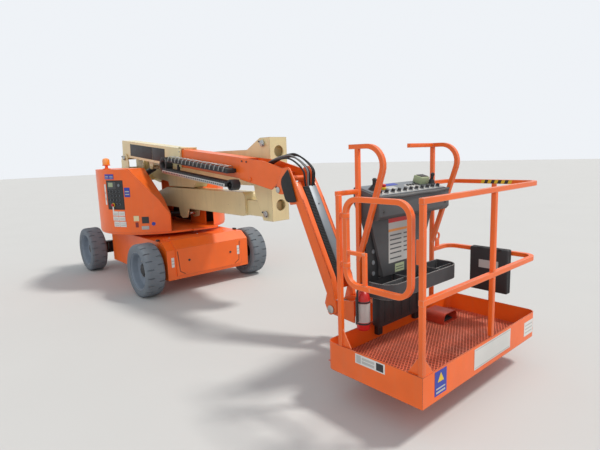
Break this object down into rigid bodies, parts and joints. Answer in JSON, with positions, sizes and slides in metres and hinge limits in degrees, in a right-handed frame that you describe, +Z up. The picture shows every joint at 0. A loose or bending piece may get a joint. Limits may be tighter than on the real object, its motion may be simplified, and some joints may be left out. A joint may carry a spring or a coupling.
{
  "type": "articulating boom lift",
  "caption": "Battery driven articulating boom lift: four wheels, slewing turntable, folding tower, telescopic boom, jib and a railed work platform.",
  "frame": {"origin": "on the ground, under the middle of the machine's length and width", "axes": "+X towards the work platform, +Y to the left of that direction, +Z up"},
  "size_m": [6.3285, 1.75, 1.9703],
  "materials": {
    "amber_lens": "amber lens",
    "black_plastic": "black plastic",
    "black_steel": "black steel",
    "bright_rod": "bright rod",
    "cream_paint": "cream paint",
    "grey_plastic": "grey plastic",
    "grey_rim": "grey rim",
    "grey_tyre": "grey tyre",
    "orange_paint": "orange paint"
  },
  "bodies": {
    "chassis": {"chassis_frame": "orange_paint", "end_cover": "orange_paint", "drive_axle": "black_steel", "steer_axle": "black_steel", "slew_ring": "black_steel"},
    "knuckle_right": {"knuckle_right": "orange_paint"},
    "knuckle_left": {"knuckle_left": "orange_paint"},
    "turntable": {"turntable": "orange_paint", "counterweight": "black_steel", "battery_right": "black_steel", "battery_left": "black_steel"},
    "hood_right": {"hood_right": "orange_paint", "ground_panel": "black_plastic", "beacon": "amber_lens"},
    "hood_left": {"hood_left": "orange_paint"},
    "lower_tower": {"lower_tower": "cream_paint"},
    "front_upright": {"front_upright": "cream_paint"},
    "upper_tower": {"upper_tower": "cream_paint"},
    "rear_upright": {"rear_upright": "cream_paint"},
    "main_boom": {"main_boom": "cream_paint"},
    "fly_boom": {"fly_boom": "orange_paint"},
    "jib": {"jib_boom": "orange_paint"},
    "level_link": {"level_link": "black_steel"},
    "rotator_bracket": {"rotator_bracket": "orange_paint"},
    "platform": {"platform_support": "orange_paint", "platform_deck": "orange_paint", "platform_rails": "orange_paint", "gate_post": "orange_paint", "console": "grey_plastic"},
    "gate": {"gate": "orange_paint"},
    "tower_ram_barrel": {"tower_ram_barrel": "black_steel"},
    "tower_ram_rod": {"tower_ram_rod": "bright_rod"},
    "boom_ram_barrel": {"boom_ram_barrel": "black_steel"},
    "boom_ram_rod": {"boom_ram_rod": "bright_rod"},
    "jib_ram_barrel": {"jib_ram_barrel": "black_steel"},
    "jib_ram_rod": {"jib_ram_rod": "bright_rod"},
    "wheel_rear_right": {"tyre_rear_right": "grey_tyre", "rim_rear_right": "grey_rim"},
    "wheel_rear_left": {"tyre_rear_left": "grey_tyre", "rim_rear_left": "grey_rim"},
    "wheel_front_right": {"tyre_front_right": "grey_tyre", "rim_front_right": "grey_rim"},
    "wheel_front_left": {"tyre_front_left": "grey_tyre", "rim_front_left": "grey_rim"}
  },
  "joints": [
    {"name": "steer_right", "type": "hinge", "parent": "chassis", "child": "knuckle_right", "pos_m": [-2.83625, -0.575, 0.3275], "axis": [0, 0, 1], "range_deg": [-30, 30]},
    {"name": "steer_left", "type": "hinge", "parent": "chassis", "child": "knuckle_left", "pos_m": [-2.83625, 0.575, 0.3275], "axis": [0, 0, 1], "range_deg": [-30, 30]},
    {"name": "wheel_rear_right", "type": "hinge", "parent": "knuckle_right", "child": "wheel_rear_right", "pos_m": [-2.83625, -0.755, 0.3275], "axis": [0, 1, 0], "continuous": true},
    {"name": "wheel_rear_left", "type": "hinge", "parent": "knuckle_left", "child": "wheel_rear_left", "pos_m": [-2.83625, 0.755, 0.3275], "axis": [0, 1, 0], "continuous": true},
    {"name": "wheel_front_right", "type": "hinge", "parent": "chassis", "child": "wheel_front_right", "pos_m": [-0.83625, -0.755, 0.3275], "axis": [0, 1, 0], "continuous": true},
    {"name": "wheel_front_left", "type": "hinge", "parent": "chassis", "child": "wheel_front_left", "pos_m": [-0.83625, 0.755, 0.3275], "axis": [0, 1, 0], "continuous": true},
    {"name": "slew", "type": "hinge", "parent": "chassis", "child": "turntable", "pos_m": [-1.83625, 0, 0.7], "axis": [0, 0, 1], "range_deg": [-180, 180]},
    {"name": "hood_right", "type": "hinge", "parent": "turntable", "child": "hood_right", "pos_m": [-2.65025, -0.32, 0.7253], "axis": [0, 0, -1], "range_deg": [0, 70]},
    {"name": "hood_left", "type": "hinge", "parent": "turntable", "child": "hood_left", "pos_m": [-2.65025, 0.366, 0.7253], "axis": [0, 0, 1], "range_deg": [0, 70]},
    {"name": "tower_lift", "type": "hinge", "parent": "turntable", "child": "lower_tower", "pos_m": [-2.43625, 0.2, 1.03], "axis": [0, -1, 0], "range_deg": [0, 68]},
    {"name": "front_upright_level", "type": "hinge", "parent": "lower_tower", "child": "front_upright", "pos_m": [0.55375, 0.2, 1.024], "axis": [0, -1, 0], "range_deg": [-68, 0]},
    {"name": "upper_tower_lift", "type": "hinge", "parent": "front_upright", "child": "upper_tower", "pos_m": [0.54375, 0.2, 1.79], "axis": [0, -1, 0], "range_deg": [-68, 0]},
    {"name": "rear_upright_level", "type": "hinge", "parent": "upper_tower", "child": "rear_upright", "pos_m": [-2.55625, 0.2, 1.6], "axis": [0, -1, 0], "range_deg": [0, 68]},
    {"name": "boom_lift", "type": "hinge", "parent": "rear_upright", "child": "main_boom", "pos_m": [-2.63625, -0.09, 1.7], "axis": [0, -1, 0], "range_deg": [-3, 76]},
    {"name": "boom_extend", "type": "slide", "parent": "main_boom", "child": "fly_boom", "axis": [0.9954, 0, -0.0958], "range_m": [0, 1.53]},
    {"name": "jib_lift", "type": "hinge", "parent": "fly_boom", "child": "jib", "pos_m": [1.28687, -0.09, 1.43979], "axis": [0, -1, 0], "range_deg": [-2, 130]},
    {"name": "level_boom", "type": "hinge", "parent": "jib", "child": "level_link", "pos_m": [1.83045, -0.09, 0.32528], "axis": [0, -1, 0], "range_deg": [-76, 3]},
    {"name": "level_jib", "type": "hinge", "parent": "level_link", "child": "rotator_bracket", "pos_m": [1.83045, -0.09, 0.32528], "axis": [0, -1, 0], "range_deg": [-130, 2]},
    {"name": "platform_rotate", "type": "hinge", "parent": "rotator_bracket", "child": "platform", "pos_m": [2.12875, -0.09, 0.25], "axis": [0, 0, 1], "range_deg": [-90, 90]},
    {"name": "gate", "type": "hinge", "parent": "platform", "child": "gate", "pos_m": [2.59375, -0.834, 0.832], "axis": [0, 0, 1], "range_deg": [0, 55]},
    {"name": "tower_ram_swing", "type": "hinge", "parent": "turntable", "child": "tower_ram_barrel", "pos_m": [-2.26625, 0.2, 0.8], "axis": [0, -1, 0], "range_deg": [-0.01, 68.35]},
    {"name": "tower_ram_stroke", "type": "slide", "parent": "tower_ram_barrel", "child": "tower_ram_rod", "axis": [0.995, 0, 0.1001], "range_m": [-0.0001, 0.32457]},
    {"name": "boom_ram_swing", "type": "hinge", "parent": "rear_upright", "child": "boom_ram_barrel", "pos_m": [-2.55625, -0.09, 1.35], "axis": [0, -1, 0], "range_deg": [-2.52, 63.55]},
    {"name": "boom_ram_stroke", "type": "slide", "parent": "boom_ram_barrel", "child": "boom_ram_rod", "axis": [0.9645, 0, 0.2643], "range_m": [-0.01622, 0.40854]},
    {"name": "jib_ram_swing", "type": "hinge", "parent": "fly_boom", "child": "jib_ram_barrel", "pos_m": [0.68273, -0.09, 1.42563], "axis": [0, -1, 0], "range_deg": [-0.07, 4.07]},
    {"name": "jib_ram_stroke", "type": "slide", "parent": "jib_ram_barrel", "child": "jib_ram_rod", "axis": [0.9825, 0, -0.1861], "range_m": [-0.00487, 0.31047]}
  ],
  "couplings": [
    {"joint": "steer_left", "follows": "steer_right", "ratio": 1},
    {"joint": "front_upright_level", "follows": "tower_lift", "ratio": -1},
    {"joint": "upper_tower_lift", "follows": "tower_lift", "ratio": -1},
    {"joint": "rear_upright_level", "follows": "tower_lift", "ratio": 1},
    {"joint": "level_boom", "follows": "boom_lift", "ratio": -1},
    {"joint": "level_jib", "follows": "jib_lift", "ratio": -1},
    {"joint": "tower_ram_swing", "follows": "tower_lift", "ratio": 1.005},
    {"joint": "tower_ram_stroke", "follows": "tower_lift", "m_per_rad": 0.27339},
    {"joint": "boom_ram_swing", "follows": "boom_lift", "ratio": 0.836},
    {"joint": "boom_ram_stroke", "follows": "boom_lift", "m_per_rad": 0.30792},
    {"joint": "jib_ram_swing", "follows": "jib_lift", "ratio": 0.0312},
    {"joint": "jib_ram_stroke", "follows": "jib_lift", "m_per_rad": 0.13679}
  ]
}
